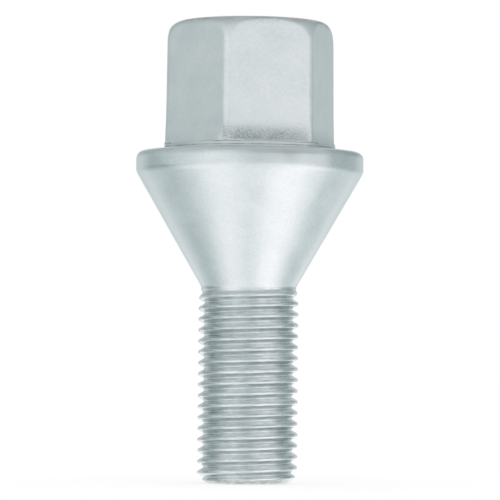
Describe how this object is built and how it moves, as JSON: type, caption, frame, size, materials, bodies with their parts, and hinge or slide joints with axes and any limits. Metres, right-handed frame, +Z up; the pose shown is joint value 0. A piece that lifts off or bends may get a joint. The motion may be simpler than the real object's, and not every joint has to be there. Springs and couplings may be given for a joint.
{
  "type": "wheel bolt",
  "caption": "Steel wheel bolt with a hexagon head, a round collar, a cone seat and a rolled metric thread that ends in a rounded flat tip.",
  "frame": {"origin": "centre of the flat end face of the shank, on the surface that the bolt stands on", "axes": "+Z up along the bolt's axis towards the head; the hexagon's corners point along +X and every 60 degrees from it"},
  "size_m": [0.0314, 0.0314, 0.0635],
  "materials": {
    "zinc_steel": "satin zinc coating"
  },
  "bodies": {
    "root": {"bolt": "zinc_steel"}
  },
  "joints": []
}
